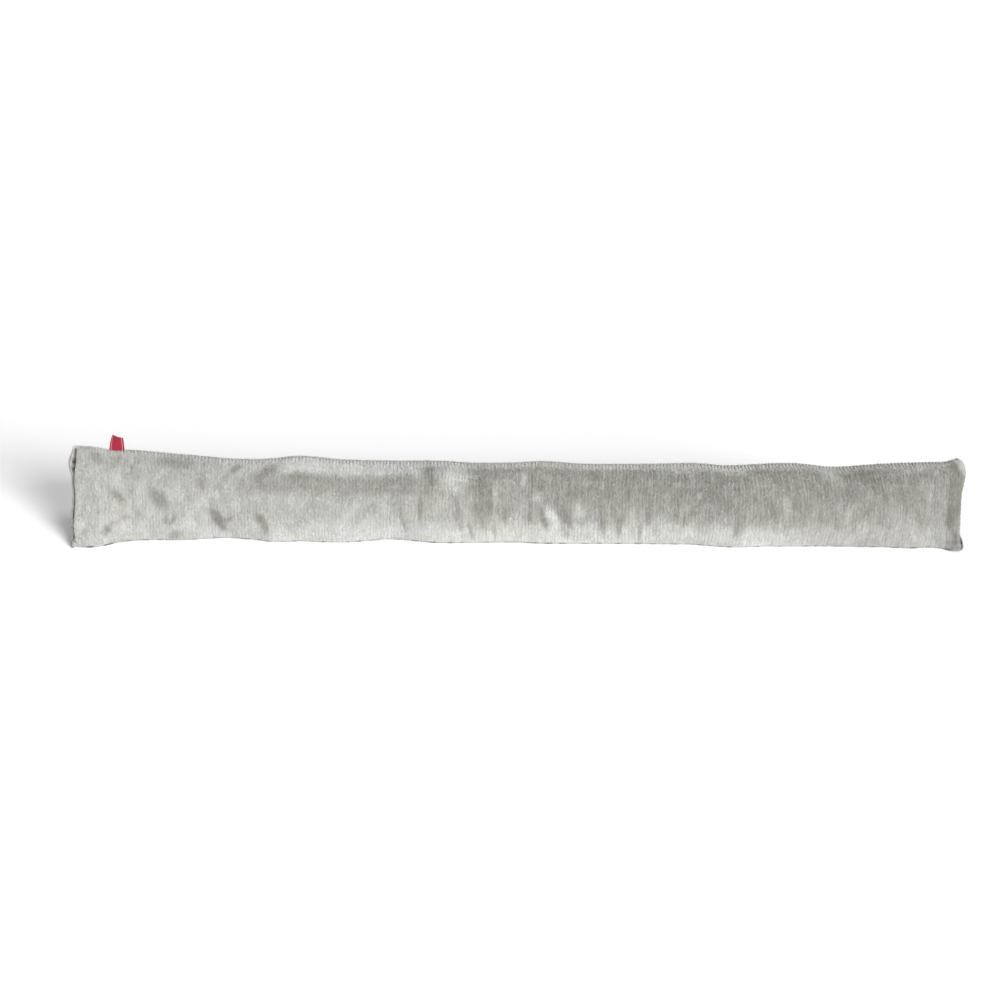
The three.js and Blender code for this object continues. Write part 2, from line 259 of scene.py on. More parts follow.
DEPTH_LOST_PER_HEIGHT = 0.75
SQUARENESS, SECTION_CROWDING = 2.3, 0.05
REST_STRIP = 25
REST_FILLET = 2.6
END_LIPS = {"front": (0.5, 4), "back": (4, 2.4)}
LOBE, LOBE_FOOT, LOBE_FULL = 8, 0.67, 0.84
SEAM_PINCH, SEAM_PINCH_REACH = 1.5, 2.2
CREST_PINCH, CREST_PINCH_REACH = 0.7, 1.5
STIFF_SEAM, SWELL_PEAK = 6, 0.6
FOLDS_FROM = 12
PULL_FROM_SEAM, BACK_PULL, RIB_WOBBLE = 40, -0.4, 0.6
RIB_DEPTHS = 0.5, 1.3
GRAIN_APART = 30
# Painted shade: how far the darkening reaches from the end seams on each side, left first, and the
# height over the floor of the painted contact shadow.
SEAM_SHADE = {"front": (6.4, 2), "back": (1.2, 1.6)}
REST_SHADE = 0.8
HALF_GIRTH = 104
UNSTROKED = -0.04
ROW_CROWDING = 0.45
BRUSHED_FROM = -150, -20
SETTLE_COLUMNS, SETTLE_ROWS = 230, 22
SETTLE_SLACK, SETTLE_FRAMES, SETTLE_SMOOTH = 2, 20, 7
CREASE_MOST = 2
CREASES_FROM, CREASES_IN = (25, 80), 12
PILE_ROOM, PILE_ROOM_FROM = 0.9, 6


def read_table(table, key, column, place):
    """A column of a table at places between its rows, on a smooth curve through them."""
    keys, values = table[key], table[column]
    rows = np.arange(len(keys))
    before, after = np.maximum(rows - 1, 0), np.minimum(rows + 1, rows[-1])
    slopes = (values[after] - values[before]) / (keys[after] - keys[before])
    row = np.clip(np.searchsorted(keys, place) - 1, 0, rows[-1] - 1)
    span = keys[row + 1] - keys[row]
    t = np.clip((place - keys[row]) / span, 0, 1)
    curve = values[row] * (2 * t**3 - 3 * t**2 + 1) + values[row + 1] * (3 * t**2 - 2 * t**3)
    bend = slopes[row] * (t**3 - 2 * t**2 + t) + slopes[row + 1] * (t**3 - t**2)
    return curve + span * bend


def smooth_step(value, low, high):
    """0 under low, 1 over high, and a smooth ramp between."""
    t = np.clip((value - low) / (high - low), 0, 1)
    return t * t * (3 - 2 * t)


def wander(seed, along, up, length, rise, waves=9):
    """Soft unevenness, mostly between -1 and 1, with swells about this long and this high."""
    draws = np.random.default_rng(seed).uniform(
        (0, 0, 0.6), (math.tau, math.tau, 1.6), (waves, 3))
    total = np.zeros(np.broadcast(along, up).shape)
    for turn, phase, size in draws:
        across = math.cos(turn) * along / length + math.sin(turn) * up / rise
        total += np.sin(math.tau * size * across + phase)
    return total * 0.5 / math.sqrt(waves / 2)


def body_section(share, height, depth):
    """How far out and how high the body's section is at a share of its half girth."""
    turn = math.pi * (share + SECTION_CROWDING * np.sin(2 * math.pi * share))
    power = 2 / SQUARENESS
    out = depth / 2 * np.abs(np.sin(turn)) ** power
    drop = 1 - (1 - (REST_STRIP / depth) ** SQUARENESS) ** (1 / SQUARENESS)
    radius = height / (2 - drop)
    cosine = np.cos(turn)
    raw = radius * (1 - drop - np.sign(cosine) * np.abs(cosine) ** power)
    fillet = (raw + REST_FILLET) ** 2 / (4 * REST_FILLET)
    return out, np.where(raw < -REST_FILLET, 0, np.where(raw < REST_FILLET, fillet, raw))


def ovals(table, column, x, up, height, edge=1):
    """Each oval's value, and how much of it reaches the places of one side. A higher edge
    is sharper."""
    for row, value in enumerate(table[column]):
        angle = math.radians(table["angle"][row])
        dx, dz = x - table["x"][row], (up - table["up"][row]) * height
        along = (dx * math.cos(angle) + dz * math.sin(angle)) / table["along"][row]
        across = (dz * math.cos(angle) - dx * math.sin(angle)) / table["across"][row]
        yield value, np.exp(-(along * along + across * across) ** edge)


class Cloth:
    """The sewn cover: places on it are given by how far they are along the cloth from the
    left end seam, and by the share of the way from foot to crest, on the front or back."""

    def __init__(self, sizes):
        self.half_length = sizes.half_length / MM
        self.body_height = sizes.body_height / MM
        self.body_depth = sizes.body_depth / MM
        self.nose = sizes.nose_length / MM
        self.turns = np.linspace(0, math.pi / 2, 600)
        steps = np.hypot(np.diff(self.nose * (1 - np.cos(self.turns))),
                         np.diff(self.body_depth / 2 * np.sin(self.turns)))
        self.nose_lengths = np.concatenate([[0], np.cumsum(steps)])
        self.nose_cloth = self.nose_lengths[-1]
        self.body_cloth = 2 * (self.half_length - self.nose)
        self.length = self.body_cloth + 2 * self.nose_cloth

    def from_seam(self, along):
        """How much cloth lies between places and the nearer end seam."""
        return np.minimum(along, self.length - along)

    def points(self, side, along, share):
        """The places' points, in millimetres, before the part is set on its origin."""
        along, share = np.broadcast_arrays(along, share)
        left, right = along < self.nose_cloth, along > self.length - self.nose_cloth
        near_seam = self.from_seam(along)
        turn = np.interp(near_seam, self.nose_lengths, self.turns)
        opened = np.where(left | right, np.sin(turn), 1.0)
        closed = 1 - opened
        rim = np.sqrt(np.maximum(np.sin(math.pi * share), 0))
        seam_inset, seam_turn = (
            np.where(right, read_table(RIGHT_SEAM, "up", column, share),
                     read_table(LEFT_SEAM, "up", column, share)) * closed
            for column in ("inset", "turn"))
        lip = np.where(~right, *END_LIPS[side])
        if side == "back":
            lip = lip + np.where(left, LOBE * smooth_step(share, LOBE_FOOT, LOBE_FULL), 0)
        swell = lip * rim * np.sin(math.pi * opened**SWELL_PEAK)
        pinch = SEAM_PINCH * rim * np.exp(-(near_seam / SEAM_PINCH_REACH) ** 2)
        reach = self.half_length - seam_inset - self.nose * (1 - np.cos(turn)) + swell - pinch
        x = np.where(left, -reach, np.where(
            right, reach, along - self.nose_cloth - self.body_cloth / 2))
        height, foot, crest = (
            read_table(SECTIONS, "x", column, x) for column in ("height", "foot", "crest"))
        depth = self.body_depth - DEPTH_LOST_PER_HEIGHT * (height - self.body_height)
        out, up = body_section(share, height, depth)
        rounded = 1 - closed**3
        up = height * share * (1 - rounded) + up * rounded
        middle = foot + (crest - foot) * up / height - seam_turn
        folds = FRONT_FOLDS if side == "front" else BACK_FOLDS
        push = sum(depth * reach for depth, reach in ovals(
            folds, "depth", x, up / height, self.body_height))
        push = push * rim * np.sqrt(opened) * np.minimum(1, up / FOLDS_FROM)
        out = np.maximum(out * opened + push, 0)
        y = middle - out if side == "front" else middle + out
        return np.stack([x, y, up], axis=-1)

    def pulled(self, side, along, share):
        """Where along the cloth the ribs of places run, once the filling has pulled them."""
        middle = along - self.length / 2
        pull = sum(shift * np.exp(-((middle - x) / reach) ** 2)
                   for x, reach, shift in zip(*RIB_PULLS.values()))
        pull = pull * np.sin(math.pi * share) * (1 if side == "front" else BACK_PULL)
        wobble = RIB_WOBBLE * wander(
            11 + (side == "back"), along, share * HALF_GIRTH, length=36, rise=30)
        held = np.clip(self.from_seam(along) / PULL_FROM_SEAM, 0, 1)
        held = held * np.clip(np.minimum(share, 1 - share) * 12, 0, 1)
        return along + (pull + wobble) * held


def unit(vectors):
    """The same directions, each of length 1."""
    return vectors / np.maximum(np.linalg.norm(vectors, axis=-1, keepdims=True), 1e-9)


def grid_normals(points, side):
    """Unit normals of a grid of points that face out of the tube."""
    along, up = np.gradient(points, axis=(0, 1))
    return unit(np.cross(along, up) if side == "front" else np.cross(up, along))


def mesh_object(name, vertices, faces, material=None, smooth=True):
    """A mesh object from arrays, in metres. Every face has as many corners as the next."""
    mesh = bpy.data.meshes.new(name)
    mesh.vertices.add(len(vertices))
    mesh.vertices.foreach_set("co", vertices.astype(np.float32).ravel())
    mesh.loops.add(faces.size)
    mesh.loops.foreach_set("vertex_index", faces.astype(np.int32).ravel())
    mesh.polygons.add(len(faces))
    mesh.polygons.foreach_set(
        "loop_start", np.arange(0, faces.size, faces.shape[1], dtype=np.int32))
    mesh.polygons.foreach_set("use_smooth", np.full(len(faces), smooth))
    mesh.update(calc_edges=True)
    mesh.validate()
    if material:
        mesh.materials.append(material)
    piece = bpy.data.objects.new(name, mesh)
    bpy.context.scene.collection.objects.link(piece)
    return piece


def read_values(items, key, width=1, kind=np.float32):
    """What each item holds under a key, as an array of rows."""
    values = np.empty(len(items) * width, kind)
    items.foreach_get(key, values)
    return values.reshape(-1, width)


def set_attribute(piece, name, values):
    """A value, or a vector, for each point of a mesh."""
    kind, key = ("FLOAT_VECTOR", "vector") if values.shape[-1] == 3 else ("FLOAT", "value")
    layer = piece.data.attributes.new(name, kind, "POINT")
    layer.data.foreach_set(key, values.astype(np.float32).ravel())


def tube_grids(cloth, sizes):
    """The cloth's places and points as grids of columns along and rows up, by side."""
    ribs = round(cloth.length / (sizes.rib_pitch / MM))
    columns = ribs * sizes.steps_per_rib
    along = np.linspace(0, cloth.length, columns + 1)[:, None]
    step = np.linspace(0, 1, sizes.girth_steps + 1)[None, :]
    share = step - ROW_CROWDING * np.sin(math.tau * step) / math.tau
    share[:, -1] = 1
    up = share * HALF_GIRTH
    phase = along / cloth.length * ribs
    creases = settled_creases(cloth)
    columns_between = spline_weights(
        SETTLE_COLUMNS + 1, SETTLE_COLUMNS * along[:, 0] / cloth.length)
    rows_between = spline_weights(SETTLE_ROWS + 1, SETTLE_ROWS * share[0]).T
    deeper = np.random.default_rng(5).uniform(*RIB_DEPTHS, ribs + 1)
    deeper = deeper[np.round(phase).astype(int)]
    grids = {}
    for side, sign in (("front", 1), ("back", -1)):
        points = cloth.points(side, cloth.pulled(side, along, share), share)
        normal = grid_normals(points, side)
        open_cloth = np.clip(cloth.from_seam(along) / STIFF_SEAM, 0, 1)
        fade = open_cloth * np.clip(np.minimum(share, 1 - share) * 20, 0.3, 1)
        groove = 0.5 + 0.5 * np.cos(math.tau * phase)
        uneven = deeper * (0.8 + 0.4 * wander(21, along, up, length=14, rise=20))
        lift = -sizes.rib_depth / MM * groove**1.5 * uneven * fade
        lift = lift - CREST_PINCH * open_cloth * np.exp(
            -((HALF_GIRTH - up) / CREST_PINCH_REACH) ** 2)
        lift = lift - PILE_ROOM * open_cloth * np.clip(points[..., 2] / PILE_ROOM_FROM, 0, 1)
        if side in creases:
            free = smooth_step(cloth.from_seam(along), *CREASES_FROM)
            free = free * np.clip(np.minimum(up, HALF_GIRTH - up) / CREASES_IN, 0, 1)
            lift = lift + columns_between @ creases[side] @ rows_between * free
        points = points + normal * lift[..., None]
        points[..., 2] = np.maximum(points[..., 2], 0)
        shape = points.shape[:2]
        apart = sign * GRAIN_APART * np.sin(math.pi * share) * open_cloth
        # Painted shade down in the end seams, and a broken painted contact shadow along the line
        # where the tube rests on the floor.
        shade = np.where(along < cloth.length / 2, *SEAM_SHADE[side])
        seam = np.exp(-(cloth.from_seam(along) / shade) ** 4)
        seam = seam * (0.85 + 0.5 * wander(31, along, up, length=9, rise=5))
        contact_shadow = np.exp(-((points[..., 2] - REST_SHADE) / REST_SHADE) ** 2) * (share > 0.05)
        contact_shadow = contact_shadow * np.clip(2 * wander(41, along, up, length=12, rise=60) + 0.2, 0.3, 1)
        seam = np.maximum(seam, contact_shadow)
        grids[side] = {
            "points": points,
            "rib_count": np.broadcast_to(phase, shape),
            "seam_and_contact_shade": np.broadcast_to(seam, shape),
            "cloth_place": np.stack(np.broadcast_arrays(along, up, apart), axis=-1) * MM,
            "lie_light_and_shade": lie_light_and_shade(side, points, cloth.body_height),
            "brushed": smooth_step(points[..., 0], *BRUSHED_FROM),
        }
    return grids


def spline_weights(count, places):
    """Weights that take values at 0, 1 .. count - 1 to places between, on smooth curves."""
    cell = np.clip(np.floor(places).astype(int), 0, count - 2)
    t = places - cell
    curves = ((2 * t**2 - t**3 - t) / 2, (3 * t**3 - 5 * t**2 + 2) / 2,
              (4 * t**2 - 3 * t**3 + t) / 2, (t**3 - t**2) / 2)
    weights = np.zeros((len(places), count))
    for step, values in enumerate(curves, start=-1):
        column = np.clip(cell + step, 0, count - 1)
        np.add.at(weights, (np.arange(len(places)), column), values)
    return weights


def settled_creases(cloth):
    """Blows the sewn cover up against its seams, as the filling does, and gives how far
    its cloth then creases out or in on a coarse grid, in millimetres, by side."""
    along = np.linspace(0, cloth.length, SETTLE_COLUMNS + 1)[:, None]
    share = np.linspace(0, 1, SETTLE_ROWS + 1)[None, :]
    full = {side: cloth.points(side, along, share) for side in ("front", "back")}
    normals = {side: grid_normals(full[side], side) for side in full}
    slack = {side: full[side] - SETTLE_SLACK * normals[side] for side in full}
    for points in slack.values():
        points[..., 2] = np.maximum(points[..., 2], 0)
    own, faces = closed_tube(*slack["front"].shape[:2])
    start = joined(*slack.values(), own) * MM
    seams = np.zeros(own.shape, bool)
    seams[[0, -1], :] = True
    held = joined(seams, seams, own)[:, 0] | (start[:, 2] < 1 * MM)
    cover = mesh_object("cover_blank", start, faces)
    pins = cover.vertex_groups.new(name="held")
    pins.add(np.flatnonzero(held).tolist(), 1, "REPLACE")
    modifier = cover.modifiers.new("filling", "CLOTH")
    settings = modifier.settings
    settings.quality = 6
    settings.mass = 0.25
    settings.tension_stiffness = settings.compression_stiffness = 12
    settings.shear_stiffness = 4
    settings.bending_stiffness = 0.3
    settings.shrink_min = -0.03
    settings.use_pressure = True
    settings.uniform_pressure_force = 4
    settings.vertex_group_mass = pins.name
    settings.effector_weights.gravity = 0
    modifier.collision_settings.use_collision = False
    scene = bpy.context.scene
    for step in range(1, SETTLE_FRAMES + 1):
        scene.frame_set(step)
    blown = cover.evaluated_get(bpy.context.evaluated_depsgraph_get()).data
    moved = read_values(blown.vertices, "co", 3) / MM
    bpy.data.objects.remove(cover, do_unlink=True)
    scene.frame_set(1)
    ends = {"front": moved[:own.size].reshape(*own.shape, 3)}
    ends["back"] = ends["front"].copy()
    ends["back"][own] = moved[own.size:]
    reach = np.arange(SETTLE_COLUMNS + 1)
    near = np.exp(-((reach[:, None] - reach) / SETTLE_SMOOTH) ** 2)
    near /= near.sum(1, keepdims=True)
    creases = {}
    for side in full:
        out = ((ends[side] - full[side]) * normals[side]).sum(-1)
        out = out - near @ out
        creases[side] = CREASE_MOST * np.tanh(out / CREASE_MOST)
    return creases


def lie_light_and_shade(side, points, body_height):
    """How the strokes have left the pile at points of one side: the lie that the colour paints as
    light and shade.
    """
    x, up = points[..., 0], points[..., 2] / read_table(SECTIONS, "x", "height", points[..., 0])
    table = FRONT_LIE_AND_SHADING if side == "front" else BACK_LIE_AND_SHADING
    lie = np.full(x.shape, UNSTROKED)
    for stroke, reach in ovals(table, "lie", x, up, body_height, edge=2):
        lie += (stroke - lie) * reach
    return lie


def grid_faces(grid, flipped=False):
    """The faces between a grid's point numbers, with four corners each."""
    corners = [grid[:-1, :-1], grid[1:, :-1], grid[1:, 1:], grid[:-1, 1:]]
    if flipped:
        corners = corners[:1] + corners[:0:-1]
    return np.stack(corners, -1).reshape(-1, 4)


def closed_tube(columns, rows):
    """How a front and a back grid of points join: which points of the back are its own,
    and the faces of both."""
    own = np.ones((columns, rows), bool)
    own[[0, -1], :] = own[:, [0, -1]] = False
    ahead = np.arange(columns * rows).reshape(columns, rows)
    behind = ahead.copy()
    behind[own] = columns * rows + np.arange(own.sum())
    return own, np.concatenate([grid_faces(ahead), grid_faces(behind, flipped=True)])


def joined(front, back, own):
    """The values of a front grid, then those of the back's own points."""
    front, back = front.reshape(*own.shape, -1), back.reshape(*own.shape, -1)
    return np.concatenate([front.reshape(own.size, -1), back[own]])


class OBJECT_OT_plush_tube(bpy.types.Operator):
    """Build the filled plush tube"""

    bl_idname = "object.excluder_tube"
    bl_label = "Plush tube"

    def execute(self, context):
        sizes = context.scene.excluder_tube
        cloth = Cloth(sizes)
        grids = tube_grids(cloth, sizes)
        front, back = grids.values()
        own, faces = closed_tube(*front["points"].shape[:2])
        vertices = joined(front["points"], back["points"], own) * MM
        middle = (vertices.min(0) + vertices.max(0)) / 2
        shift = np.array([(TUBE_LOW.x + TUBE_HIGH.x) / 2 - middle[0],
                          (TUBE_LOW.y + TUBE_HIGH.y) / 2 - middle[1], 0])
        vertices += shift
        context.scene["excluder_shift"] = shift.tolist()
        tube = mesh_object("plush_tube", vertices, faces, plush_material(context.scene))
        for name in CARRIED:
            set_attribute(tube, name, joined(front[name], back[name], own))
        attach(tube, "root")
        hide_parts("filled_tube")
        return {"FINISHED"}


# Pile

PILE_PIECES = {
    "pile_front_left": (True, True), "pile_front_right": (True, False),
    "pile_back_left": (False, True), "pile_back_right": (False, False),
}

# What the points of the tube hold and its tufts take over, and how it is kept.
CARRIED = {
    "rib_count": ("value", 1), "seam_and_contact_shade": ("value", 1), "cloth_place": ("vector", 3),
    "lie_light_and_shade": ("value", 1), "brushed": ("value", 1),
}

GROOVE_PILE = 0.6
LEAN_BY_LIE, LEAN_SPREAD, MOST_LEAN = 8, 11, 80
TURN_SPREAD, TWIST_SPREAD = 15, 21
CREST_STANDS = 0.88, 0.97
STANDING_LEAN = 0.4
LYING_LENGTH, STANDING_LENGTH = (0.95, 1.03), (0.64, 1)
LENGTH_SPREAD = 0.65, 1.25
SEAM_BARE = 3
PILE_SUNK = 0.15
PILE_CLEAR = 1.5

# The tone of a tuft at its two root corners and at its tip, darker at the roots as painted shade
# down in the pile, and how far tufts differ at random.
TUFT_ROOT_SHADE, TONE_SPREAD = (0.3, 0.3, 1), (0.6, 1.4)


def turned(first, second, angle):
    """From the first directions towards the second by the angle, in radians."""
    return first * np.cos(angle)[:, None] + second * np.sin(angle)[:, None]


def crown_share(rib_count):
    """How near places are to the crown of their rib, from 0 in a groove to 1."""
    return 0.5 - 0.5 * np.cos(math.tau * rib_count)


def tuft_corners(root, outward, rib_up, lie, up, crown, sizes, draw):
    """Three corners for each tuft: a narrow blade that leans down its rib, or near the
    crest stands up, and is longest on the crown of the rib."""
    count = len(root)
    across = np.cross(rib_up, outward)
    stands = draw.uniform(size=count) < smooth_step(up, *CREST_STANDS)
    ahead = np.where(stands, 1, -1)[:, None] * rib_up
    heading = turned(ahead, across, np.radians(draw.normal(0, TURN_SPREAD, count)))
    lean = draw.normal(math.degrees(sizes.lean), LEAN_SPREAD, count) + LEAN_BY_LIE * lie
    lean = np.where(stands, STANDING_LEAN, 1) * np.minimum(lean, MOST_LEAN)
    blade = turned(outward, heading, np.radians(lean))
    flat = unit(np.cross(blade, outward))
    twist = np.radians(draw.normal(0, TWIST_SPREAD, count))
    half = turned(flat, np.cross(blade, flat), twist) * sizes.width / 2
    root = root - outward * PILE_SUNK * MM
    length = np.where(stands, np.interp(crown, (0, 1), STANDING_LENGTH),
                      np.interp(crown, (0, 1), LYING_LENGTH))
    length = length * draw.uniform(*LENGTH_SPREAD, count)
    tip = root + blade * sizes.length * length[:, None]
    return np.stack([root - half, root + half, tip], axis=1)


class OBJECT_OT_plush_pile(bpy.types.Operator):
    """Grow the short pile on the plush tube"""

    bl_idname = "object.excluder_pile"
    bl_label = "Plush pile"

    def execute(self, context):
        mesh = bpy.data.objects["plush_tube"].data
        corners = read_values(mesh.loops, "vertex_index", kind=np.int32).reshape(-1, 4)
        area = read_values(mesh.polygons, "area")[:, 0]
        held = {name: read_values(mesh.attributes[name].data, key, width)
                for name, (key, width) in CARRIED.items()}
        held["point"] = read_values(mesh.vertices, "co", 3)
        held["outward"] = np.array([vertex.normal for vertex in mesh.vertices])
        crown = crown_share(held["rib_count"][corners].mean(axis=1)[:, 0])
        wanted = area * (GROOVE_PILE + crown)
        wanted *= np.clip(1 - SEAM_BARE * held["seam_and_contact_shade"][corners].mean(axis=1)[:, 0], 0, 1)
        in_front = np.arange(len(corners)) < len(corners) / 2
        on_left = held["point"][corners, 0].mean(axis=1) < 0
        for seed, (name, (front, left)) in enumerate(PILE_PIECES.items(), start=71):
            here = (in_front == front) & (on_left == left)
            self.grow(context.scene, name, corners, held, wanted * here, seed)
        return {"FINISHED"}

    def grow(self, scene, name, corners, held, wanted, seed):
        """One piece of the pile, as a mesh of single triangles."""
        sizes = scene.excluder_pile
        draw = np.random.default_rng(seed)
        face = corners[draw.choice(len(corners), sizes.tufts, p=wanted / wanted.sum())]
        a, b = draw.uniform(size=(2, sizes.tufts))
        shares = np.stack([(1 - a) * (1 - b), a * (1 - b), a * b, (1 - a) * b], axis=1)
        at_root = {key: np.einsum("fc,fcv->fv", shares, values[face])
                   for key, values in held.items()}
        edges = held["point"][face[:, [1, 3]]] - held["point"][face[:, :1]]
        rises = held["cloth_place"][face[:, [1, 3]], 1] - held["cloth_place"][face[:, :1], 1]
        rib_up = unit((edges * rises[..., None]).sum(axis=1))
        up = at_root["cloth_place"][:, 1] / (HALF_GIRTH * MM)
        crown = crown_share(at_root["rib_count"][:, 0])
        blades = tuft_corners(at_root["point"], unit(at_root["outward"]), rib_up,
                              at_root["lie_light_and_shade"][:, 0], up, crown, sizes, draw)
        label = scene.excluder_label
        shift = scene["excluder_shift"][0]
        beside = np.abs(at_root["point"][:, 0] - label.middle - shift) > label.width / 2 + MM
        below = up < 1 - PILE_CLEAR / HALF_GIRTH
        kept = (blades[..., 2].min(axis=1) > PILE_CLEAR * MM) & (beside | below)
        blades = blades[kept]
        count = len(blades)
        pile = mesh_object(name, blades.reshape(-1, 3), np.arange(3 * count).reshape(-1, 3),
                           bpy.data.objects["plush_tube"].data.materials[0], smooth=False)
        for key in CARRIED:
            set_attribute(pile, key, np.repeat(at_root[key][kept], 3, axis=0))
        tips = draw.uniform(*TONE_SPREAD, (count, 1)) * TUFT_ROOT_SHADE
        set_attribute(pile, "tuft", tips.reshape(-1, 1))
        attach(pile, "root")


# Materials

COOL_GLANCE = 0.98, 0.985, 1.03

# Width and length of the grain's bunches, in millimetres: streaks down the ribs,
# blotches, rib ends, bunches of tufts, single fibres, and drifts of cooler grey.
PLUSH_GRAINS = (4.5, 26), (12, 13), (2.2, 15), (1.3, 3.2), (0.3, 1.6), (45, 24)

LINE_COLOUR = 0.72, 0.6, 0.6
LINE_INSET, LINE_HALF_WIDTH, LINE_STRENGTH = 1.7, 0.22, 0.55
TWILL_PITCH, ROW_PITCH = 0.55, 0.8


class ShaderTree:
    """Grows a tree of shader nodes. A call takes sockets or plain values, and gives the
    output of its new node."""

    def __init__(self, tree):
        self.nodes, self.link = tree.nodes, tree.links.new

    def feed(self, node, inputs):
        """Gives each named or numbered input of a node its socket or value."""
        for slot, value in inputs.items():
            if isinstance(value, bpy.types.NodeSocket):
                self.link(value, node.inputs[slot])
            else:
                node.inputs[slot].default_value = value

    def node(self, kind, inputs, output=0, **settings):
        """A node of a kind, once its settings are made and its inputs fed."""
        node = self.nodes.new("ShaderNode" + kind)
        for name, setting in settings.items():
            setattr(node, name, setting)
        self.feed(node, inputs)
        return node.outputs[output]

    def attribute(self, name, output="Fac"):
        """The named value of the mesh."""
        return self.node("Attribute", {}, output, attribute_name=name)

    def math(self, operation, *values):
        """What a sum or function makes of the values."""
        return self.node("Math", dict(enumerate(values)), operation=operation)

    def weighted(self, start, *terms):
        """The start plus each term's value times its weight."""
        total = start
        for value, weight in terms:
            total = self.math("MULTIPLY_ADD", value, weight, total)
        return total

    def mix(self, factor, *colours):
        """Two colours mixed by a factor."""
        first, second = (
            colour if isinstance(colour, bpy.types.NodeSocket) else (*colour, 1)
            for colour in colours)
        return self.node("Mix", {"Factor": factor, "A": first, "B": second}, "Result",
                         data_type="RGBA", clamp_factor=True)

    def scaled(self, colour, factor):
        """A colour times a factor."""
        return self.node("VectorMath", {0: colour, "Scale": factor}, operation="SCALE")

    def bump(self, height, distance):
        """A normal from a height that is 1 at the given distance over the surface."""
        return self.node("Bump", {"Height": height, "Distance": distance})

    def grain(self, place, width, length):
        """Fibre grain at places, in bunches this wide and this long in millimetres."""
        inputs = {"Place": place, "Width": width * MM, "Length": length * MM}
        return self.node("Group", inputs, "Grain", node_tree=grain_group())


def grain_group():
    """The node group of fibre grain: unevenness from about -0.3 to 0.3, in bunches that
    are as wide and as long as asked."""
    name = "fibre_grain"
    if name in bpy.data.node_groups:
        return bpy.data.node_groups[name]
    group = bpy.data.node_groups.new(name, "ShaderNodeTree")
    for socket, kind in (("Place", "Vector"), ("Width", "Float"), ("Length", "Float")):
        group.interface.new_socket(socket, in_out="INPUT", socket_type="NodeSocket" + kind)
    group.interface.new_socket("Grain", in_out="OUTPUT", socket_type="NodeSocketFloat")
    tree = ShaderTree(group)
    place, width, length, _ = group.nodes.new("NodeGroupInput").outputs
    size = tree.node("CombineXYZ", {"X": width, "Y": length, "Z": length})
    place = tree.node("VectorMath", {0: place, 1: size}, operation="DIVIDE")
    noise = tree.node(
        "TexNoise", {"Vector": place, "Scale": 1, "Detail": 3, "Roughness": 0.6}, "Fac")
    tree.feed(group.nodes.new("NodeGroupOutput"),
              {"Grain": tree.math("SUBTRACT", noise, 0.5)})
    return group


def new_material(name):
    """An empty material with its tree and its shader node."""
    material = bpy.data.materials.new(name)
    material.use_nodes = True
    tree = ShaderTree(material.node_tree)
    return material, tree, tree.nodes["Principled BSDF"]


def plush_material(scene):
    """Short ribbed pile: colour by how it lies, which paints in its light and shade, in streaks
    and blotches, with the grain of its fibres, cooler in drifts, with painted shade in the rib
    grooves, at the roots of its tufts, down in the end seams and along the floor."""
    look = scene.excluder_plush
    material, tree, shader = new_material("ribbed_plush")
    place = tree.attribute("cloth_place", "Vector")
    streaks, blotches, rib_ends, bunches, fibres, drifts = (
        tree.grain(place, *size) for size in PLUSH_GRAINS)
    turn = tree.math("MULTIPLY", tree.attribute("rib_count"), math.tau)
    groove = tree.math("COSINE", turn)
    brushed = tree.attribute("brushed")
    streaks = tree.math("MULTIPLY", streaks, tree.weighted(0.26, (brushed, 0.4)))
    rib_ends = tree.math("MULTIPLY", rib_ends, tree.weighted(0.2, (brushed, 0.2)))
    # Painted shade: the colour darkens down in the rib grooves.
    groove = tree.math("MULTIPLY", groove, tree.weighted(-0.03, (brushed, 0.01)))
    lie = tree.weighted(0.5, (tree.attribute("lie_light_and_shade"), 0.46), (streaks, 1),
                        (blotches, 0.7), (rib_ends, 1), (groove, 1))
    # Painted light and shade: the lit and shaded pile colours mixed by the lie.
    pile = tree.mix(lie, look.pile_painted_shaded, look.pile_painted_lit)
    # The tufts' tone, painted shade at their roots, leaves the cloth between them, which has no
    # tuft tone, darker as painted shade too.
    pile = tree.scaled(pile, tree.weighted(
        0.92, (bunches, 0.7), (fibres, 0.5), (groove, 0.5), (tree.attribute("tuft"), 0.2)))
    cool = tree.weighted(0.4, (drifts, 3), (brushed, -0.35))
    cooled = tree.node("VectorMath", {0: pile, 1: COOL_GLANCE}, operation="MULTIPLY")
    pile = tree.mix(cool, pile, cooled)
    relief = tree.weighted(0.5, (bunches, 0.8), (fibres, 0.7))
    tree.feed(shader, {
        "Base Color": tree.mix(tree.attribute("seam_and_contact_shade"), pile, look.seam),
        "Roughness": tree.weighted(0.92, (bunches, -0.3)),
        "Normal": tree.bump(relief, 0.5 * MM),
        "Specular IOR Level": 0.1, "Sheen Weight": look.sheen, "Sheen Roughness": 0.5,
    })
    return material


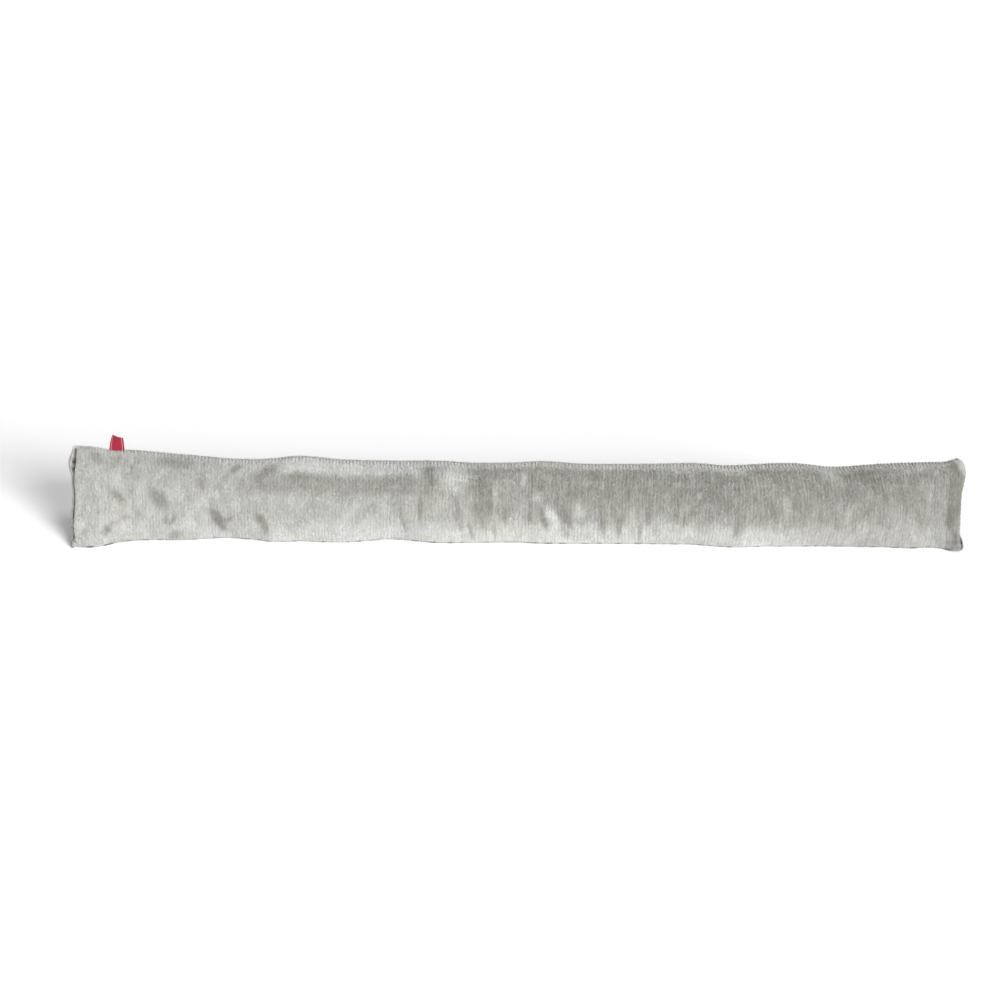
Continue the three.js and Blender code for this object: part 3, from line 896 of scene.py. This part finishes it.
def label_material(scene):
    """Satin-woven ribbon with a thin pale line near each selvedge."""
    sizes = scene.excluder_label
    material, tree, shader = new_material("label_weave")
    place = tree.attribute("ribbon_place", "Vector")
    across, along = (tree.node("SeparateXYZ", {0: place}, axis) for axis in "XY")
    from_edge = tree.math("PINGPONG", across, sizes.width / 2)
    line = tree.math("COMPARE", from_edge, LINE_INSET * MM, LINE_HALF_WIDTH * MM)
    line = tree.math("MULTIPLY", line, LINE_STRENGTH)
    slant = tree.math("ADD", across, along)
    twill, rows = (
        tree.math("SINE", tree.math("MULTIPLY", way, math.tau / (pitch * MM)))
        for way, pitch in ((slant, TWILL_PITCH), (along, ROW_PITCH)))
    weave = tree.math("MULTIPLY", twill, rows)
    threads = tree.grain(place, 0.4, 1.8)
    shade = tree.weighted(0.92, (weave, 0.12), (threads, 0.5))
    tree.feed(shader, {
        "Base Color": tree.scaled(tree.mix(line, sizes.colour, LINE_COLOUR), shade),
        "Normal": tree.bump(weave, 0.1 * MM),
        "Roughness": 0.6, "Specular IOR Level": 0.25, "Sheen Weight": 0.05,
    })
    return material


# Label

LABEL_CLOTH = 0.55
LABEL_GAP = 0.8
LABEL_SLANT = 1.6
LABEL_CURL = 3
LABEL_TAPER = 1
LABEL_SEAT = -0.5
LABEL_RIPPLE = 0.35
SELVEDGE_THINNER, SELVEDGE_REACH = 0.35, 0.5
LABEL_COLUMNS, LABEL_LAYER_STEPS, LABEL_FOLD_STEPS = 28, 26, 12


def ribbon_section(height):
    """The middle of the folded ribbon, from the front layer's cut end over the fold to the
    back layer's, and how far along the ribbon each point is."""
    radius = (LABEL_GAP + LABEL_CLOTH) / 2
    rise = np.linspace(0, height - radius, LABEL_LAYER_STEPS)
    turn = np.linspace(0, math.pi, LABEL_FOLD_STEPS)[1:-1]
    out = np.concatenate([np.full(rise.size, -radius), -radius * np.cos(turn),
                          np.full(rise.size, radius)])
    up = np.concatenate([rise, height - radius + radius * np.sin(turn), rise[::-1]])
    steps = np.hypot(np.diff(out), np.diff(up))
    return out, up, np.concatenate([[0], np.cumsum(steps)])


class OBJECT_OT_seam_label(bpy.types.Operator):
    """Build the small folded label in the crest seam"""

    bl_idname = "object.excluder_label"
    bl_label = "Seam label"

    def execute(self, context):
        sizes = context.scene.excluder_label
        width, height = sizes.width / MM, sizes.height / MM
        cloth = Cloth(context.scene.excluder_tube)
        crest = cloth.points("front", np.linspace(0, cloth.length / 3, 900), 1.0)
        across = np.linspace(0, 1, LABEL_COLUMNS + 1)[:, None]
        out, up, along = ribbon_section(height)
        seat = sizes.middle / MM + (across - 0.5) * width
        base_y = np.interp(seat, crest[:, 0], crest[:, 1])
        base_z = np.interp(seat, crest[:, 0], crest[:, 2]) + LABEL_SEAT
        rise = up / height
        curl = LABEL_CURL * rise**2 * (1 - across) ** 2
        ripple = LABEL_RIPPLE * np.sin(2.3 * math.pi * across + 0.6) * rise * (1 - 0.5 * rise)
        points = np.stack([
            seat + curl - LABEL_TAPER * rise * across, base_y + out + 1.3 * curl + ripple,
            base_z + up * (1 - LABEL_SLANT / height * across)], axis=-1)
        normal = unit(np.cross(*np.gradient(points, axis=(0, 1))))
        inset = np.minimum(across, 1 - across) * width
        selvedge = 1 - SELVEDGE_THINNER * np.exp(-(inset / SELVEDGE_REACH) ** 2)
        half = normal * (LABEL_CLOTH / 2 * selvedge)[..., None]
        layers = np.stack([points + half, points - half])
        columns, steps = points.shape[:2]
        outer, inner = np.arange(2 * columns * steps).reshape(2, columns, steps)
        edge = np.stack([outer, inner], -1)
        faces = np.concatenate([
            grid_faces(outer), grid_faces(inner, flipped=True),
            grid_faces(edge[0]), grid_faces(edge[-1], flipped=True),
            grid_faces(edge[:, 0], flipped=True), grid_faces(edge[:, -1]),
        ])
        vertices = layers.reshape(-1, 3) * MM + np.array(context.scene["excluder_shift"])
        label = mesh_object("woven_label", vertices, faces, label_material(context.scene))
        layer = np.arange(2)[:, None, None]
        place = np.broadcast_arrays(across * width, along, layer * LABEL_CLOTH)
        set_attribute(label, "ribbon_place", np.stack(place, axis=-1).reshape(-1, 3) * MM)
        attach(label, "root")
        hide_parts("seam_label")
        return {"FINISHED"}


# Stage

FLOOR_REACH = 30.0
FOCUS_HEIGHT = 41

# Where the focus shows in the picture, in pixels from its left and from its top.
FOCUS_AT = 515, 503.7
HALF_PICTURE = 500


def direction(azimuth, elevation):
    """From the tube towards a place in front of it, to the right by the azimuth."""
    return Vector((math.sin(azimuth) * math.cos(elevation),
                   -math.cos(azimuth) * math.cos(elevation), math.sin(elevation)))


class OBJECT_OT_studio_stage(bpy.types.Operator):
    """Set the camera, the pale floor and the soft light"""

    bl_idname = "object.excluder_stage"
    bl_label = "Camera, floor and light"

    def execute(self, context):
        scene = context.scene
        setup = scene.excluder_stage
        focus = Vector((0, 0, FOCUS_HEIGHT * MM))
        back = direction(setup.azimuth, setup.elevation)
        lens = bpy.data.cameras.new("camera")
        lens.lens = setup.focal_length
        lens.sensor_width = 36
        lens.shift_x = (HALF_PICTURE - FOCUS_AT[0]) / (2 * HALF_PICTURE)
        lens.shift_y = (FOCUS_AT[1] - HALF_PICTURE) / (2 * HALF_PICTURE)
        camera = bpy.data.objects.new("camera", lens)
        camera.location = focus + back * setup.distance
        camera.rotation_euler = back.to_track_quat("Z", "Y").to_euler()
        scene.collection.objects.link(camera)
        scene.camera = camera
        scene.view_settings.view_transform = "Standard"
        self.floor(setup)
        self.sky(scene, setup)
        lights = (
            ("main_light", setup.light_azimuth, setup.key_elevation, setup.key_strength),
            ("low_light", setup.low_azimuth, setup.low_elevation, setup.low_strength),
            ("high_light", setup.light_azimuth, setup.high_elevation, setup.high_strength))
        for name, azimuth, elevation, strength in lights:
            self.soft_light(name, direction(azimuth, elevation), strength, setup.light_spread)
        return {"FINISHED"}

    def floor(self, setup):
        """A wide floor that shows white under the soft light, as a studio's sweep does."""
        material, tree, shader = new_material("pale_floor")
        tree.nodes.remove(shader)
        matt = tree.node("BsdfDiffuse", {"Color": (*[setup.floor_white] * 3, 1)})
        tree.feed(tree.nodes["Material Output"], {"Surface": matt})
        corners = FLOOR_REACH * np.array([(-1, -1, 0), (1, -1, 0), (1, 1, 0), (-1, 1, 0)])
        mesh_object("floor", corners, np.array([[0, 1, 2, 3]]), material)

    def sky(self, scene, setup):
        """Even light from all round, which shows white where the floor ends."""
        world = bpy.data.worlds.new("sky")
        scene.world = world
        world.use_nodes = True
        tree = ShaderTree(world.node_tree)
        seen = tree.node("LightPath", {}, "Is Camera Ray")
        tree.feed(tree.nodes["Background"], {
            "Color": (1, 1, 1, 1),
            "Strength": tree.weighted(setup.sky, (seen, 1 - setup.sky)),
        })

    def soft_light(self, name, back, strength, spread):
        """A distant lamp that shines from the direction given."""
        lamp = bpy.data.lights.new(name, "SUN")
        lamp.energy = strength
        lamp.angle = spread
        light = bpy.data.objects.new(name, lamp)
        light.rotation_euler = back.to_track_quat("Z", "Y").to_euler()
        bpy.context.scene.collection.objects.link(light)


class VIEW3D_PT_draught_excluder(bpy.types.Panel):
    """The pieces of the draught excluder"""

    bl_idname = "VIEW3D_PT_draught_excluder"
    bl_label = "Draught Excluder"
    bl_space_type = "VIEW_3D"
    bl_region_type = "UI"
    bl_category = "Draught Excluder"

    def draw(self, context):
        for operator in OPERATORS:
            self.layout.operator(operator.bl_idname)


GROUPS = {
    "excluder_tube": TubeSizes,
    "excluder_pile": PileSizes,
    "excluder_plush": PlushLook,
    "excluder_label": LabelSizes,
    "excluder_stage": StageSetup,
}
OPERATORS = (OBJECT_OT_plush_tube, OBJECT_OT_plush_pile, OBJECT_OT_seam_label,
             OBJECT_OT_studio_stage)
CLASSES = (*GROUPS.values(), *OPERATORS, VIEW3D_PT_draught_excluder)


def register():
    for cls in CLASSES:
        bpy.utils.register_class(cls)
    for name, group in GROUPS.items():
        setattr(bpy.types.Scene, name, PointerProperty(type=group))


def unregister():
    for name in GROUPS:
        delattr(bpy.types.Scene, name)
    for cls in reversed(CLASSES):
        bpy.utils.unregister_class(cls)


def main():
    """Builds everything."""
    register()
    bpy.ops.object.excluder_stage()
    bpy.ops.object.excluder_tube()
    bpy.ops.object.excluder_pile()
    bpy.ops.object.excluder_label()


if __name__ == "__main__":
    main()
